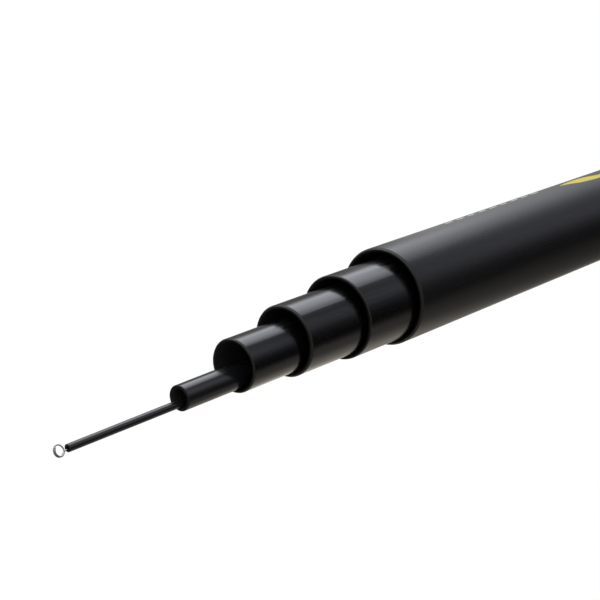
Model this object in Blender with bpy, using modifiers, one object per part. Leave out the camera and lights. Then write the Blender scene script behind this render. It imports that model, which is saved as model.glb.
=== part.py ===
"""Six-section telescopic pole rod, closed, with its sections standing a little proud.

The rod lies level along X with its tip at +X, and Z is up. The origin is the centre
of the rubber pad on the butt cap. Metres.

Radii are worked out from the inside outwards: the tip's bore holds a bush and the ring's
wire, and the mouth of each tube has the bore that grips the base of the section in it.
Lengths are worked out from the butt inwards: a section that is pushed home stands on the
buffer disc, or level with the base of the tube round it.

Every section lies on the bottom of the bore round it, as a tube does under its own
weight, and slides out along a line that lifts its base to the middle of that bore
just as its taper fills it.
"""
import math
from collections import namedtuple

import bmesh
import bpy
from mathutils import Matrix, Vector

MM = 0.001

# Turned pieces and wires
SIDES = 32
HALF_STEP = math.pi / SIDES
SEAM_MERGE = 0.00001
SMOOTH_ANGLE = math.radians(35)
WIRE_RESOLUTION = 2

# Fits
FACE_GAP = 0.3 * MM
GLUE_GAP = 0.15 * MM
REST_CLEARANCE = 0.10 * MM
SHANK_CLEARANCE = 0.04 * MM

# Butt tube: widening is the radius gained from the mouth to the base
BUTT_LENGTH = 1130.0 * MM
BUTT_WALL = 1.0 * MM
BUTT_WIDENING = 1.15 * MM
RIM_CHAMFER = 0.15 * MM

# Sections. Widening is the radius gained from the mouth down to the overlap, which is the
# stretch that stays inside when the section is drawn out. Lock is the radial room left
# there. Stand is how far the mouth stands out of the mouth round it, and sunk is how far
# it lies below that mouth once the section is pushed home.
SECTION_2_WALL = 0.85 * MM
SECTION_2_WIDENING = 0.98 * MM
SECTION_2_OVERLAP = 75.0 * MM
SECTION_2_LOCK = 0.10 * MM
SECTION_2_STAND = 19.0 * MM
SECTION_2_SUNK = 14.3 * MM

SECTION_3_WALL = 0.95 * MM
SECTION_3_WIDENING = 0.91 * MM
SECTION_3_OVERLAP = 70.0 * MM
SECTION_3_LOCK = 0.10 * MM
SECTION_3_STAND = 20.8 * MM
SECTION_3_SUNK = 0.0 * MM

SECTION_4_WALL = 0.70 * MM
SECTION_4_WIDENING = 1.30 * MM
SECTION_4_OVERLAP = 65.0 * MM
SECTION_4_LOCK = 0.15 * MM
SECTION_4_STAND = 18.3 * MM
SECTION_4_SUNK = 0.0 * MM

SECTION_5_WALL = 0.80 * MM
SECTION_5_WIDENING = 2.64 * MM
SECTION_5_OVERLAP = 60.0 * MM
SECTION_5_LOCK = 0.20 * MM
SECTION_5_STAND = 18.4 * MM
SECTION_5_SUNK = 0.0 * MM

TIP_WALL = 0.43 * MM
TIP_WIDENING = 1.29 * MM
TIP_OVERLAP = 50.0 * MM
TIP_LOCK = 0.10 * MM
TIP_STAND = 34.3 * MM
TIP_SUNK = -1.5 * MM

# Tip ring: stand is the clear way between the mouth and the ring's middle line, and the
# bend of its shank starts inside the tip, just past the bush
RING_WIRE_RADIUS = 0.175 * MM
RING_RADIUS = 1.25 * MM
RING_STAND = 0.92 * MM
RING_TURNS = 1.5
RING_TURN_GAP = 0.27 * MM
RING_YAW = math.radians(13)
RING_ROLL = math.radians(28)
RING_JOIN_ANGLE = math.radians(38)
RING_STEPS_PER_TURN = 28
HEADING_STEP = math.radians(0.5)
SHANK_BEND_STEPS = 10
SHANK_BEND_PAST_BUSH = 0.2 * MM
SHANK_EASE_OUT = 0.5
SHANK_EASE_IN = 0.26
SHANK_SHORT_OF_BUSH = 2.6 * MM

# Bush that holds the ring's shank in the tip
BUSH_WALL = 0.245 * MM
BUSH_LENGTH = 8.0 * MM
BUSH_SET_BACK = 1.6 * MM

# Screw cap, its pad and its seal
PAD_PROUD = 0.8 * MM
PAD_DEPTH = 2.6 * MM
PAD_EDGE = 0.5 * MM
PAD_GROOVE_RADIUS = 7.0 * MM
PAD_GROOVE_WIDTH = 1.2 * MM
PAD_GROOVE_DEPTH = 0.5 * MM
CAP_FLANGE_PROUD = 0.55 * MM
CAP_FLANGE_THICKNESS = 6.4 * MM
CAP_FLANGE_EDGE = 0.7 * MM
CAP_RIM_WIDTH = 4.05 * MM
CAP_NECK_LEAD = 4.2 * MM
CAP_NECK_WALL = 2.85 * MM
CAP_FLOOR = 2.4 * MM
KNURL_COUNT = 32
KNURL_SIDES = 6
KNURL_RADIUS = 0.55 * MM
KNURL_CENTRE = 0.15 * MM
KNURL_OVERRUN = 1.0 * MM
SEAL_WIRE_RADIUS = 0.65 * MM
SEAL_WIRE_SIDES = 8
SEAL_GAP = 0.15 * MM

# Round thread between the cap and the insert: land is what is left between two grooves,
# and lift is how far the ridge's middle line lies above the cap's neck
THREAD_PITCH = 2.0 * MM
THREAD_TURNS = 3.0
THREAD_LAND = 0.40 * MM
THREAD_CLEARANCE = 0.25 * MM
THREAD_LIFT = 0.05 * MM
THREAD_RUN_OUT = 1.2 * MM
THREAD_STEPS_PER_TURN = 28

# Insert glued into the butt: the widest section has to pass through it
INSERT_FLANGE_THICKNESS = 3.0 * MM
INSERT_OVERRUN = 0.5 * MM
INSERT_WALL = 0.82 * MM

# Buffer disc on the cap, which the closed sections stand on
BUFFER_THICKNESS = 5.0 * MM
BUFFER_SIDE_ROOM = 0.66 * MM
BUFFER_PLUG_LENGTH = 6.0 * MM
BUFFER_EDGE = 1.0 * MM
SECTION_STOP_GAP = 0.5 * MM

# From the butt outwards
Section = namedtuple("Section", "name wall widening overlap lock stand sunk")
SECTIONS = (
    Section(
        "section_2", SECTION_2_WALL, SECTION_2_WIDENING, SECTION_2_OVERLAP,
        SECTION_2_LOCK, SECTION_2_STAND, SECTION_2_SUNK,
    ),
    Section(
        "section_3", SECTION_3_WALL, SECTION_3_WIDENING, SECTION_3_OVERLAP,
        SECTION_3_LOCK, SECTION_3_STAND, SECTION_3_SUNK,
    ),
    Section(
        "section_4", SECTION_4_WALL, SECTION_4_WIDENING, SECTION_4_OVERLAP,
        SECTION_4_LOCK, SECTION_4_STAND, SECTION_4_SUNK,
    ),
    Section(
        "section_5", SECTION_5_WALL, SECTION_5_WIDENING, SECTION_5_OVERLAP,
        SECTION_5_LOCK, SECTION_5_STAND, SECTION_5_SUNK,
    ),
    Section("tip_section", TIP_WALL, TIP_WIDENING, TIP_OVERLAP, TIP_LOCK, TIP_STAND, TIP_SUNK),
)


def mouth_radii(innermost_bore):
    """Each section's outer radius at its mouth, and the bore that the butt's mouth needs."""
    radii = {}
    bore = innermost_bore
    for section in reversed(SECTIONS):
        radii[section.name] = bore + section.wall
        bore = radii[section.name] + section.widening + section.lock
    return radii, bore


# Radii of the tubes at their mouths, from the ring's wire outwards
BUSH_BORE_RADIUS = RING_WIRE_RADIUS + SHANK_CLEARANCE
BUSH_RADIUS = BUSH_BORE_RADIUS + BUSH_WALL
MOUTH_RADII, BUTT_BORE_RADIUS = mouth_radii(BUSH_RADIUS + SHANK_CLEARANCE)
BUTT_MOUTH_RADIUS = BUTT_BORE_RADIUS + BUTT_WALL
BUTT_BASE_RADIUS = BUTT_MOUTH_RADIUS + BUTT_WIDENING
BUTT_TAPER = BUTT_WIDENING / BUTT_LENGTH

# The ring's centre and the spacing of its turns
RING_REACH = RING_RADIUS + RING_STAND
RING_TURN_PITCH = 2 * RING_WIRE_RADIUS + RING_TURN_GAP
SHANK_DEPTH = BUSH_SET_BACK + BUSH_LENGTH - SHANK_SHORT_OF_BUSH
SHANK_BEND_DEPTH = BUSH_SET_BACK - SHANK_BEND_PAST_BUSH

# Stations along X, from the pad towards the tip
SEAL_SEAT_DEPTH = 2 * (SEAL_WIRE_RADIUS + SEAL_GAP) - FACE_GAP
CAP_FACE_X = PAD_PROUD
CAP_NECK_X = CAP_FACE_X + CAP_FLANGE_THICKNESS
INSERT_FACE_X = CAP_NECK_X + FACE_GAP
SEAL_SEAT_X = INSERT_FACE_X + SEAL_SEAT_DEPTH
BUTT_BASE_X = INSERT_FACE_X + INSERT_FLANGE_THICKNESS + FACE_GAP
THREAD_START_X = SEAL_SEAT_X + THREAD_RUN_OUT
CAP_END_X = THREAD_START_X + THREAD_TURNS * THREAD_PITCH + CAP_NECK_LEAD
BUFFER_BACK_X = CAP_END_X + FACE_GAP
BUFFER_FACE_X = BUFFER_BACK_X + BUFFER_THICKNESS
INSERT_END_X = BUFFER_FACE_X + INSERT_OVERRUN
SECTION_STOP_X = INSERT_END_X + SECTION_STOP_GAP

# Radii round the thread
INSERT_LENGTH = INSERT_END_X - INSERT_FACE_X
INSERT_RADIUS = BUTT_BASE_RADIUS - BUTT_TAPER * INSERT_LENGTH - BUTT_WALL - GLUE_GAP
INSERT_BORE_RADIUS = INSERT_RADIUS - INSERT_WALL
THREAD_WIRE_RADIUS = 0.5 * (THREAD_PITCH - THREAD_LAND) - THREAD_CLEARANCE
THREAD_CREST_RADIUS = INSERT_RADIUS - 0.5 * (INSERT_WALL - THREAD_CLEARANCE) - THREAD_CLEARANCE
THREAD_CENTRE_RADIUS = THREAD_CREST_RADIUS - THREAD_WIRE_RADIUS
CAP_NECK_RADIUS = THREAD_CENTRE_RADIUS - THREAD_LIFT
CAP_BORE_RADIUS = CAP_NECK_RADIUS - CAP_NECK_WALL
CAP_FLANGE_RADIUS = BUTT_BASE_RADIUS + CAP_FLANGE_PROUD
RECESS_RADIUS = CAP_FLANGE_RADIUS - CAP_RIM_WIDTH
PAD_RADIUS = RECESS_RADIUS - GLUE_GAP
SEAL_RADIUS = CAP_NECK_RADIUS + SEAL_GAP + SEAL_WIRE_RADIUS
SEAL_SEAT_RADIUS = SEAL_RADIUS + SEAL_WIRE_RADIUS + SEAL_GAP
BUFFER_RADIUS = INSERT_BORE_RADIUS - BUFFER_SIDE_ROOM


def clear_scene():
    for item in list(bpy.data.objects):
        bpy.data.objects.remove(item, do_unlink=True)


def make_collection(name):
    collection = bpy.data.collections.new(name)
    bpy.context.scene.collection.children.link(collection)
    return collection


def make_material(name, colour, roughness, metallic=0.0, coat=0.0):
    material = bpy.data.materials.new(name)
    material.use_nodes = True
    shader = material.node_tree.nodes["Principled BSDF"]
    shader.inputs["Base Color"].default_value = (*colour, 1.0)
    shader.inputs["Roughness"].default_value = roughness
    shader.inputs["Metallic"].default_value = metallic
    shader.inputs["Coat Weight"].default_value = coat
    return material


def add_object(name, mesh, collection, material=None, parent=None):
    item = bpy.data.objects.new(name, mesh)
    collection.objects.link(item)
    if material:
        mesh.materials.clear()
        mesh.materials.append(material)
    if parent:
        item.parent = parent
    return item


def hide_helper(item):
    item.hide_render = True
    item.display_type = "WIRE"


def turned(name, profile, collection, material=None, parent=None, closed=True):
    """A profile of (radius, height) points turned round local Z, outer side from the top down."""
    points = [
        (radius * math.cos(HALF_STEP), radius * math.sin(HALF_STEP), height)
        for radius, height in profile
    ]
    edges = [(index, index + 1) for index in range(len(points) - 1)]
    if closed:
        edges.append((len(points) - 1, 0))
    mesh = bpy.data.meshes.new(name)
    mesh.from_pydata(points, edges, [])
    item = add_object(name, mesh, collection, material, parent)
    screw = item.modifiers.new("Turn", "SCREW")
    screw.axis = "Z"
    screw.angle = 2 * math.pi
    screw.steps = SIDES
    screw.render_steps = SIDES
    screw.use_merge_vertices = True
    screw.merge_threshold = SEAM_MERGE
    screw.use_smooth_shade = True
    return item


def bake(item):
    """Replace an object's mesh by its evaluated one, so that it can be cut and shaded."""
    depsgraph = bpy.context.evaluated_depsgraph_get()
    mesh = bpy.data.meshes.new_from_object(item.evaluated_get(depsgraph))
    mesh.name = item.name
    item.modifiers.clear()
    item.data = mesh
    return item


def shade(item):
    item.data.shade_smooth()
    item.data.set_sharp_from_angle(angle=SMOOTH_ANGLE)
    return item


def combine(item, tool, operation):
    """Cut or join a piece with a tool that shares its parent, and bake the result."""
    bpy.context.view_layer.update()
    modifier = item.modifiers.new(operation.title(), "BOOLEAN")
    modifier.operation = operation
    modifier.object = tool
    modifier.solver = "EXACT"
    return bake(item)


def wire(name, path, radius, collection, material=None, parent=None):
    """A round wire along a list of points, as a closed mesh."""
    curve = bpy.data.curves.new(name, "CURVE")
    curve.dimensions = "3D"
    curve.bevel_depth = radius
    curve.bevel_resolution = WIRE_RESOLUTION
    curve.use_fill_caps = True
    spline = curve.splines.new("POLY")
    spline.points.add(len(path) - 1)
    for point, place in zip(spline.points, path):
        point.co = (*place, 1.0)
    guide = bpy.data.objects.new(name + "_guide", curve)
    collection.objects.link(guide)
    bpy.context.view_layer.update()
    depsgraph = bpy.context.evaluated_depsgraph_get()
    mesh = bpy.data.meshes.new_from_object(guide.evaluated_get(depsgraph))
    bpy.data.objects.remove(guide, do_unlink=True)
    cleaner = bmesh.new()
    cleaner.from_mesh(mesh)
    bmesh.ops.remove_doubles(cleaner, verts=cleaner.verts, dist=SEAM_MERGE)
    bmesh.ops.recalc_face_normals(cleaner, faces=cleaner.faces)
    cleaner.to_mesh(mesh)
    cleaner.free()
    mesh.name = name
    return add_object(name, mesh, collection, material, parent)


def tube(name, mouth_radius, base_radius, wall, length, collection, material, parent):
    """A tapered tube along local Z with its base at the origin and a chamfered mouth."""
    profile = [
        (mouth_radius - RIM_CHAMFER, length),
        (mouth_radius, length - RIM_CHAMFER),
        (base_radius, RIM_CHAMFER),
        (base_radius - RIM_CHAMFER, 0.0),
        (base_radius - wall + RIM_CHAMFER, 0.0),
        (base_radius - wall, RIM_CHAMFER),
        (mouth_radius - wall, length - RIM_CHAMFER),
        (mouth_radius - wall + RIM_CHAMFER, length),
    ]
    return shade(bake(turned(name, profile, collection, material, parent)))


Fit = namedtuple("Fit", "taper base_radius base_drop tilt rise travel push_in")


def fit_section(section, length, outer_bore, outer_taper):
    """How a section lies in the bore round it, and how it slides in that bore."""
    mouth_radius = MOUTH_RADII[section.name]
    held = length - section.stand
    taper = section.widening / (length - section.overlap)
    base_radius = mouth_radius + taper * length
    lip_drop = outer_bore - (mouth_radius + taper * section.stand) - REST_CLEARANCE
    base_room = outer_bore + outer_taper * held - base_radius - REST_CLEARANCE
    base_drop = min(lip_drop, base_room)
    tilt = (lip_drop - base_drop) / held
    travel = held - section.overlap
    push_in = section.stand + section.sunk
    return Fit(taper, base_radius, base_drop, tilt, base_drop / travel, travel, push_in)


def make_blanks(collection, carbon_satin, carbon_gloss, rod):
    """The butt tube and the sections, each a child of the tube that it slides in."""
    outer = tube(
        "butt_tube", BUTT_MOUTH_RADIUS, BUTT_BASE_RADIUS, BUTT_WALL, BUTT_LENGTH,
        collection, carbon_satin, rod,
    )
    outer.location.z = BUTT_BASE_X
    blanks = {"butt_tube": outer}
    fits = {}
    outer_bore = BUTT_BORE_RADIUS
    outer_taper = BUTT_TAPER
    outer_length = BUTT_LENGTH
    mouth_to_stop = BUTT_BASE_X + BUTT_LENGTH - SECTION_STOP_X
    for section in SECTIONS:
        length = mouth_to_stop - section.sunk
        fit = fit_section(section, length, outer_bore, outer_taper)
        mouth_radius = MOUTH_RADII[section.name]
        item = tube(
            section.name, mouth_radius, fit.base_radius, section.wall, length,
            collection, carbon_gloss, outer,
        )
        item.location = (fit.base_drop, 0.0, outer_length + section.stand - length)
        item.rotation_euler = (0.0, fit.tilt, 0.0)
        blanks[section.name] = item
        fits[section.name] = fit
        outer = item
        outer_bore = mouth_radius - section.wall
        outer_taper = fit.taper
        outer_length = length
        mouth_to_stop = length
    return blanks, fits, outer_length


def ring_path():
    """The shank from inside the tip, its bend, and one and a half turns of the ring.

    In this path Z runs out of the tip's mouth, X is down and Y is the ring's axis.
    """
    path = [Vector((0.0, 0.0, -SHANK_DEPTH))]
    start_angle = math.pi - RING_JOIN_ANGLE
    centre = Vector((0.0, 0.0, RING_REACH))
    turn_matrix = Matrix.Rotation(RING_ROLL, 3, "Z") @ Matrix.Rotation(RING_YAW, 3, "X")
    span = RING_TURN_PITCH * RING_TURNS

    def on_ring(angle):
        share = (start_angle - angle) / (2 * math.pi)
        along = RING_TURN_PITCH * share - 0.5 * span
        spot = Vector((RING_RADIUS * math.sin(angle), along, RING_RADIUS * math.cos(angle)))
        return centre + turn_matrix @ spot

    bend_start = Vector((0.0, 0.0, -SHANK_BEND_DEPTH))
    first = on_ring(start_angle)
    heading = (on_ring(start_angle - HEADING_STEP) - first).normalized()
    span_out = (first - bend_start).length
    controls = [
        bend_start,
        bend_start + Vector((0.0, 0.0, SHANK_EASE_OUT * span_out)),
        first - heading * SHANK_EASE_IN * span_out,
        first,
    ]
    for step in range(SHANK_BEND_STEPS):
        path.append(bezier(controls, step / SHANK_BEND_STEPS))
    steps = round(RING_TURNS * RING_STEPS_PER_TURN)
    for step in range(steps + 1):
        path.append(on_ring(start_angle - 2 * math.pi * RING_TURNS * step / steps))
    return path


def bezier(controls, share):
    points = list(controls)
    while len(points) > 1:
        points = [a.lerp(b, share) for a, b in zip(points, points[1:])]
    return points[0]


def make_tip_end(collection, steel, brass, tip, tip_length):
    """The wire ring and the bush that holds its shank inside the tip's mouth."""
    top = -BUSH_SET_BACK
    bottom = top - BUSH_LENGTH
    profile = [
        (BUSH_RADIUS, top),
        (BUSH_RADIUS, bottom),
        (BUSH_BORE_RADIUS, bottom),
        (BUSH_BORE_RADIUS, top),
    ]
    bush = shade(bake(turned("tip_bush", profile, collection, brass, tip)))
    bush.location.z = tip_length
    ring = shade(wire("tip_ring", ring_path(), RING_WIRE_RADIUS, collection, steel, tip))
    ring.location.z = tip_length


def helix(radius, start, turns):
    """Points of a right-handed helix round Z, from a height upwards."""
    steps = round(turns * THREAD_STEPS_PER_TURN)
    path = []
    for step in range(steps + 1):
        height = start + THREAD_PITCH * turns * step / steps
        angle = 2 * math.pi * height / THREAD_PITCH
        path.append(Vector((radius * math.cos(angle), radius * math.sin(angle), height)))
    return path


def make_insert(collection, cutters, aluminium, rod):
    """The flanged sleeve in the butt's end, with the seal's seat and the female thread."""
    flange_end = INSERT_FACE_X + INSERT_FLANGE_THICKNESS
    profile = [
        (INSERT_RADIUS, INSERT_END_X),
        (INSERT_RADIUS, flange_end),
        (BUTT_BASE_RADIUS, flange_end),
        (BUTT_BASE_RADIUS, INSERT_FACE_X),
        (SEAL_SEAT_RADIUS, INSERT_FACE_X),
        (SEAL_SEAT_RADIUS, SEAL_SEAT_X),
        (INSERT_BORE_RADIUS, SEAL_SEAT_X),
        (INSERT_BORE_RADIUS, INSERT_END_X),
    ]
    insert = bake(turned("thread_insert", profile, collection, aluminium, rod))
    groove_radius = THREAD_WIRE_RADIUS + THREAD_CLEARANCE
    lead_in = THREAD_RUN_OUT + 2 * groove_radius
    turns = THREAD_TURNS + (lead_in + THREAD_RUN_OUT) / THREAD_PITCH
    path = helix(THREAD_CENTRE_RADIUS, THREAD_START_X - lead_in, turns)
    groove = wire("thread_groove_cutter", path, groove_radius, cutters, parent=rod)
    hide_helper(groove)
    shade(combine(insert, groove, "DIFFERENCE"))


def make_cap(collection, cutters, anodised, rod):
    """The screw cap: knurled flange, pad recess, threaded neck and a hollow inner end."""
    recess_floor = PAD_DEPTH + GLUE_GAP
    profile = [
        (0.0, recess_floor + CAP_FLOOR),
        (CAP_BORE_RADIUS, recess_floor + CAP_FLOOR),
        (CAP_BORE_RADIUS, CAP_END_X),
        (CAP_NECK_RADIUS - RIM_CHAMFER, CAP_END_X),
        (CAP_NECK_RADIUS, CAP_END_X - RIM_CHAMFER),
        (CAP_NECK_RADIUS, CAP_NECK_X),
        (CAP_FLANGE_RADIUS - CAP_FLANGE_EDGE, CAP_NECK_X),
        (CAP_FLANGE_RADIUS, CAP_NECK_X - CAP_FLANGE_EDGE),
        (CAP_FLANGE_RADIUS, CAP_FACE_X + CAP_FLANGE_EDGE),
        (CAP_FLANGE_RADIUS - CAP_FLANGE_EDGE, CAP_FACE_X),
        (RECESS_RADIUS, CAP_FACE_X),
        (RECESS_RADIUS, recess_floor),
        (0.0, recess_floor),
    ]
    cap = bake(turned("butt_cap", profile, collection, anodised, rod, closed=False))
    path = helix(THREAD_CENTRE_RADIUS, THREAD_START_X, THREAD_TURNS)
    ridge = wire("thread_ridge", path, THREAD_WIRE_RADIUS, cutters, parent=rod)
    hide_helper(ridge)
    combine(cap, ridge, "UNION")
    knurl = make_knurl_cutter(cutters, rod)
    shade(combine(cap, knurl, "DIFFERENCE"))


def make_knurl_cutter(cutters, rod):
    """Flutes along the cap's flange, evenly spaced from one corner of its outline."""
    builder = bmesh.new()
    length = CAP_FLANGE_THICKNESS + 2 * KNURL_OVERRUN
    middle = CAP_FACE_X + 0.5 * CAP_FLANGE_THICKNESS
    radius = CAP_FLANGE_RADIUS + KNURL_CENTRE
    for index in range(KNURL_COUNT):
        angle = 2 * math.pi * index / KNURL_COUNT + HALF_STEP
        place = Vector((radius * math.cos(angle), radius * math.sin(angle), middle))
        bmesh.ops.create_cone(
            builder, cap_ends=True, segments=KNURL_SIDES, radius1=KNURL_RADIUS, radius2=KNURL_RADIUS,
            depth=length, matrix=Matrix.Translation(place) @ Matrix.Rotation(angle, 4, "Z"),
        )
    mesh = bpy.data.meshes.new("knurl_cutter")
    builder.to_mesh(mesh)
    builder.free()
    knurl = add_object("knurl_cutter", mesh, cutters, parent=rod)
    hide_helper(knurl)
    return knurl


def make_end_pad(collection, rubber, rod):
    """The rubber pad in the cap's recess, with one moulded groove."""
    inner = PAD_GROOVE_RADIUS - 0.5 * PAD_GROOVE_WIDTH
    outer = PAD_GROOVE_RADIUS + 0.5 * PAD_GROOVE_WIDTH
    profile = [
        (0.0, PAD_DEPTH),
        (PAD_RADIUS, PAD_DEPTH),
        (PAD_RADIUS, PAD_EDGE),
        (PAD_RADIUS - PAD_EDGE, 0.0),
        (outer, 0.0),
        (outer, PAD_GROOVE_DEPTH),
        (inner, PAD_GROOVE_DEPTH),
        (inner, 0.0),
        (0.0, 0.0),
    ]
    shade(bake(turned("end_pad", profile, collection, rubber, rod, closed=False)))


def make_seal(collection, rubber, rod):
    bpy.ops.mesh.primitive_torus_add(
        major_radius=SEAL_RADIUS, minor_radius=SEAL_WIRE_RADIUS,
        major_segments=SIDES, minor_segments=SEAL_WIRE_SIDES,
    )
    made = bpy.context.object
    mesh = made.data
    bpy.data.objects.remove(made, do_unlink=True)
    mesh.name = "seal_ring"
    seal = add_object("seal_ring", mesh, collection, rubber, rod)
    seal.location.z = CAP_NECK_X + SEAL_GAP + SEAL_WIRE_RADIUS
    shade(seal)


def make_buffer(collection, foam, rod):
    """The foam disc that the closed sections stand on, plugged into the cap's hollow end."""
    plug_radius = CAP_BORE_RADIUS - GLUE_GAP
    plug_end = CAP_END_X - BUFFER_PLUG_LENGTH
    profile = [
        (0.0, BUFFER_FACE_X),
        (BUFFER_RADIUS - BUFFER_EDGE, BUFFER_FACE_X),
        (BUFFER_RADIUS, BUFFER_FACE_X - BUFFER_EDGE),
        (BUFFER_RADIUS, BUFFER_BACK_X),
        (plug_radius, BUFFER_BACK_X),
        (plug_radius, plug_end),
        (0.0, plug_end),
    ]
    shade(bake(turned("buffer_disc", profile, collection, foam, rod, closed=False)))


def report_motion(blanks, fits):
    """Print each section's slide direction and range, as the rod's record states them."""
    bpy.context.view_layer.update()
    for name, fit in fits.items():
        frame = blanks[name].parent.matrix_world.to_3x3()
        axis = (frame @ Vector((-fit.rise, 0.0, 1.0))).normalized()
        place = blanks[name].matrix_world.translation
        print(
            name, "base radius", round(fit.base_radius, 6), "drop", round(fit.base_drop, 6),
            "tilt", round(fit.tilt, 6), "axis", [round(value, 7) for value in axis],
            "range", [round(-fit.push_in, 5), round(fit.travel, 5)],
            "base at", [round(value, 5) for value in place],
        )


def build():
    clear_scene()
    collection = make_collection("pole_rod")
    cutters = make_collection("cutters")
    rod = bpy.data.objects.new("rod_axis", None)
    collection.objects.link(rod)
    rod.rotation_euler = (0.0, math.pi / 2, 0.0)

    carbon_satin = make_material("carbon_satin_black", (0.012, 0.012, 0.013), 0.38, coat=0.2)
    carbon_gloss = make_material("carbon_gloss_black", (0.008, 0.008, 0.009), 0.08, coat=1.0)
    steel = make_material("steel_wire", (0.62, 0.61, 0.59), 0.22, metallic=1.0)
    brass = make_material("brass_bush", (0.60, 0.45, 0.20), 0.35, metallic=1.0)
    aluminium = make_material("aluminium_insert", (0.65, 0.66, 0.67), 0.35, metallic=1.0)
    anodised = make_material("black_anodised_cap", (0.02, 0.02, 0.022), 0.34, metallic=0.8)
    rubber = make_material("black_rubber", (0.018, 0.018, 0.018), 0.75)
    foam = make_material("grey_foam", (0.10, 0.10, 0.105), 0.95)

    blanks, fits, tip_length = make_blanks(collection, carbon_satin, carbon_gloss, rod)
    make_tip_end(collection, steel, brass, blanks["tip_section"], tip_length)
    make_insert(collection, cutters, aluminium, rod)
    make_cap(collection, cutters, anodised, rod)
    make_end_pad(collection, rubber, rod)
    make_seal(collection, rubber, rod)
    make_buffer(collection, foam, rod)
    report_motion(blanks, fits)


build()
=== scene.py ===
"""Dressed telescopic pole rod: fine turned forms with lacquers, metals, rubber and foam.

The rod lies level along X with its tip at +X and Z up, in metres. Each tube is rebuilt as a
fine turned form from the places and radii of its solid. In the frame of a tube X runs along
its axis from the base to the mouth, and an angle round it is counted from +Y through +Z.
"""
import math
from collections import namedtuple

import bmesh
import bpy
from mathutils import Matrix, Vector


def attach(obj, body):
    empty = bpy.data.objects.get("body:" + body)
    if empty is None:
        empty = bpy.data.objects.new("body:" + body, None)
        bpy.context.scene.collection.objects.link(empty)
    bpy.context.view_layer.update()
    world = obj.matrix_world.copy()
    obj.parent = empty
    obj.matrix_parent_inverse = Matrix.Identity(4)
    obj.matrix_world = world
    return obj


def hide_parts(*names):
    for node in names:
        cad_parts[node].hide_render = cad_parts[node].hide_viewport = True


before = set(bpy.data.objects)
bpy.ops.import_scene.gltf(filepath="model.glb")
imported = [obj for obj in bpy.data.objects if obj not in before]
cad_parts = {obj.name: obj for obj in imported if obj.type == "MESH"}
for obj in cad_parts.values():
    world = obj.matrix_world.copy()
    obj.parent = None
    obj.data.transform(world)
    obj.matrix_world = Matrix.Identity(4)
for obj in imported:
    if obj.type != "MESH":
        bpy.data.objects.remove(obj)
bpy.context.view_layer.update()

MM = 0.001
TURN = 2 * math.pi
SMOOTH_ANGLE = math.radians(38)

# Camera, fitted to the outline in the photograph
CAMERA_PLACE = (1.46957, 0.24330, 0.12539)
CAMERA_RIGHT = (-0.63584, 0.77182, 0.0)
CAMERA_UP = (-0.22786, -0.18772, 0.95543)
CAMERA_BACK = (0.73742, 0.60750, 0.29523)
CAMERA_LENS = 98.69
CAMERA_SENSOR = 36.0
CAMERA_CLIP = (0.01, 300.0)

# Studio: the floor lies well below the rod, and cards stand round it on the camera's side
FLOOR_HEIGHT = -0.60
FLOOR_HALF = 60.0
FLOOR_COLOUR = (0.8, 0.8, 0.8)
FLOOR_GLOW = 0.14
CARD_RADIUS = 0.55
CARD_SPAN = (-3.5, 10.0)
CARD_STEP = math.radians(4)
# Brightest level that a ramp has to hold, as its colours end at one
CARD_TOP_LEVEL = 3.0
# Angle round the rod and light there, on the stretch that the sections mirror
CARD_LEVELS = (
    (-145, 1.0), (-135, 0.66), (-110, 0.66), (-88, 0.58), (-72, 0.46), (-60, 0.33), (-40, 0.30),
    (-32, 0.22), (-25, 0.10), (-18, 0.04), (-5, 0.04), (7, 0.075), (20, 0.18), (32, 0.36),
    (44, 0.48), (57, 0.43), (70, 0.33), (82, 0.38), (86, 1.6), (92, 1.8), (99, 2.2),
    (107, 2.6), (124, 2.65), (135, 2.55), (139, 1.6), (143, 0.85), (149, 0.38), (160, 0.22),
    (195, 0.14),
)
# The same on the stretch that the butt mirrors
BUTT_CARD_LEVELS = (
    (-145, 1.2), (-135, 0.66), (-122, 0.31), (-88, 0.25), (-72, 0.23), (-60, 0.21), (-40, 0.18),
    (-32, 0.15), (-25, 0.10), (-18, 0.045), (-5, 0.045), (7, 0.085), (20, 0.20), (32, 0.42),
    (44, 0.61), (57, 0.58), (70, 0.48), (80, 0.70), (84, 0.95), (91, 1.10), (99, 1.35),
    (107, 1.65), (124, 1.85), (132, 1.75), (138, 1.55), (145, 1.35), (157, 1.15), (175, 0.85),
    (195, 0.65),
)
BUTT_CARDS_END = (0.40, 0.50)
# Place along the rod, and the share of the light there: at the lower edge, below, in front, above
CARD_SHARES = (
    (-0.4, (0.50, 0.30, 0.55, 0.30)), (0.05, (0.65, 0.38, 0.60, 0.38)),
    (0.17, (0.80, 0.46, 0.68, 0.43)), (0.37, (1.0, 0.76, 1.32, 0.77)),
    (0.41, (0.9, 0.80, 1.15, 0.92)), (0.46, (0.50, 0.95, 0.68, 1.15)),
    (0.49, (0.50, 0.95, 0.68, 1.15)), (0.56, (0.90, 1.03, 0.88, 0.92)),
    (0.63, (1.90, 1.46, 0.88, 1.20)), (0.69, (0.55, 0.82, 1.75, 1.32)),
    (0.76, (0.60, 0.80, 2.00, 1.32)), (1.5, (0.6, 0.8, 1.2, 1.2)),
)
CARD_SHARE_TOP = 2.0
# Angles over which one share passes into the next
CARD_ZONES = ((-118, -106), (-22, -14), (79, 83))
COOL = (0.94, 0.97, 1.06)
COOL_GREY = (0.945, 0.96, 1.09)
WARM = (1.03, 0.96, 0.86)
NEUTRAL = (1.0, 1.0, 1.0)
# Tint of the light above each angle, from the highest down
CARD_TINTS = (
    (141, NEUTRAL), (81, COOL), (-10, COOL_GREY), (-20, NEUTRAL), (-140, WARM), (-180, NEUTRAL),
)
SKY_LEVELS = ((0.0, 0.55), (0.5, 0.62), (0.75, 0.95), (1.0, 1.35))

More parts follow.
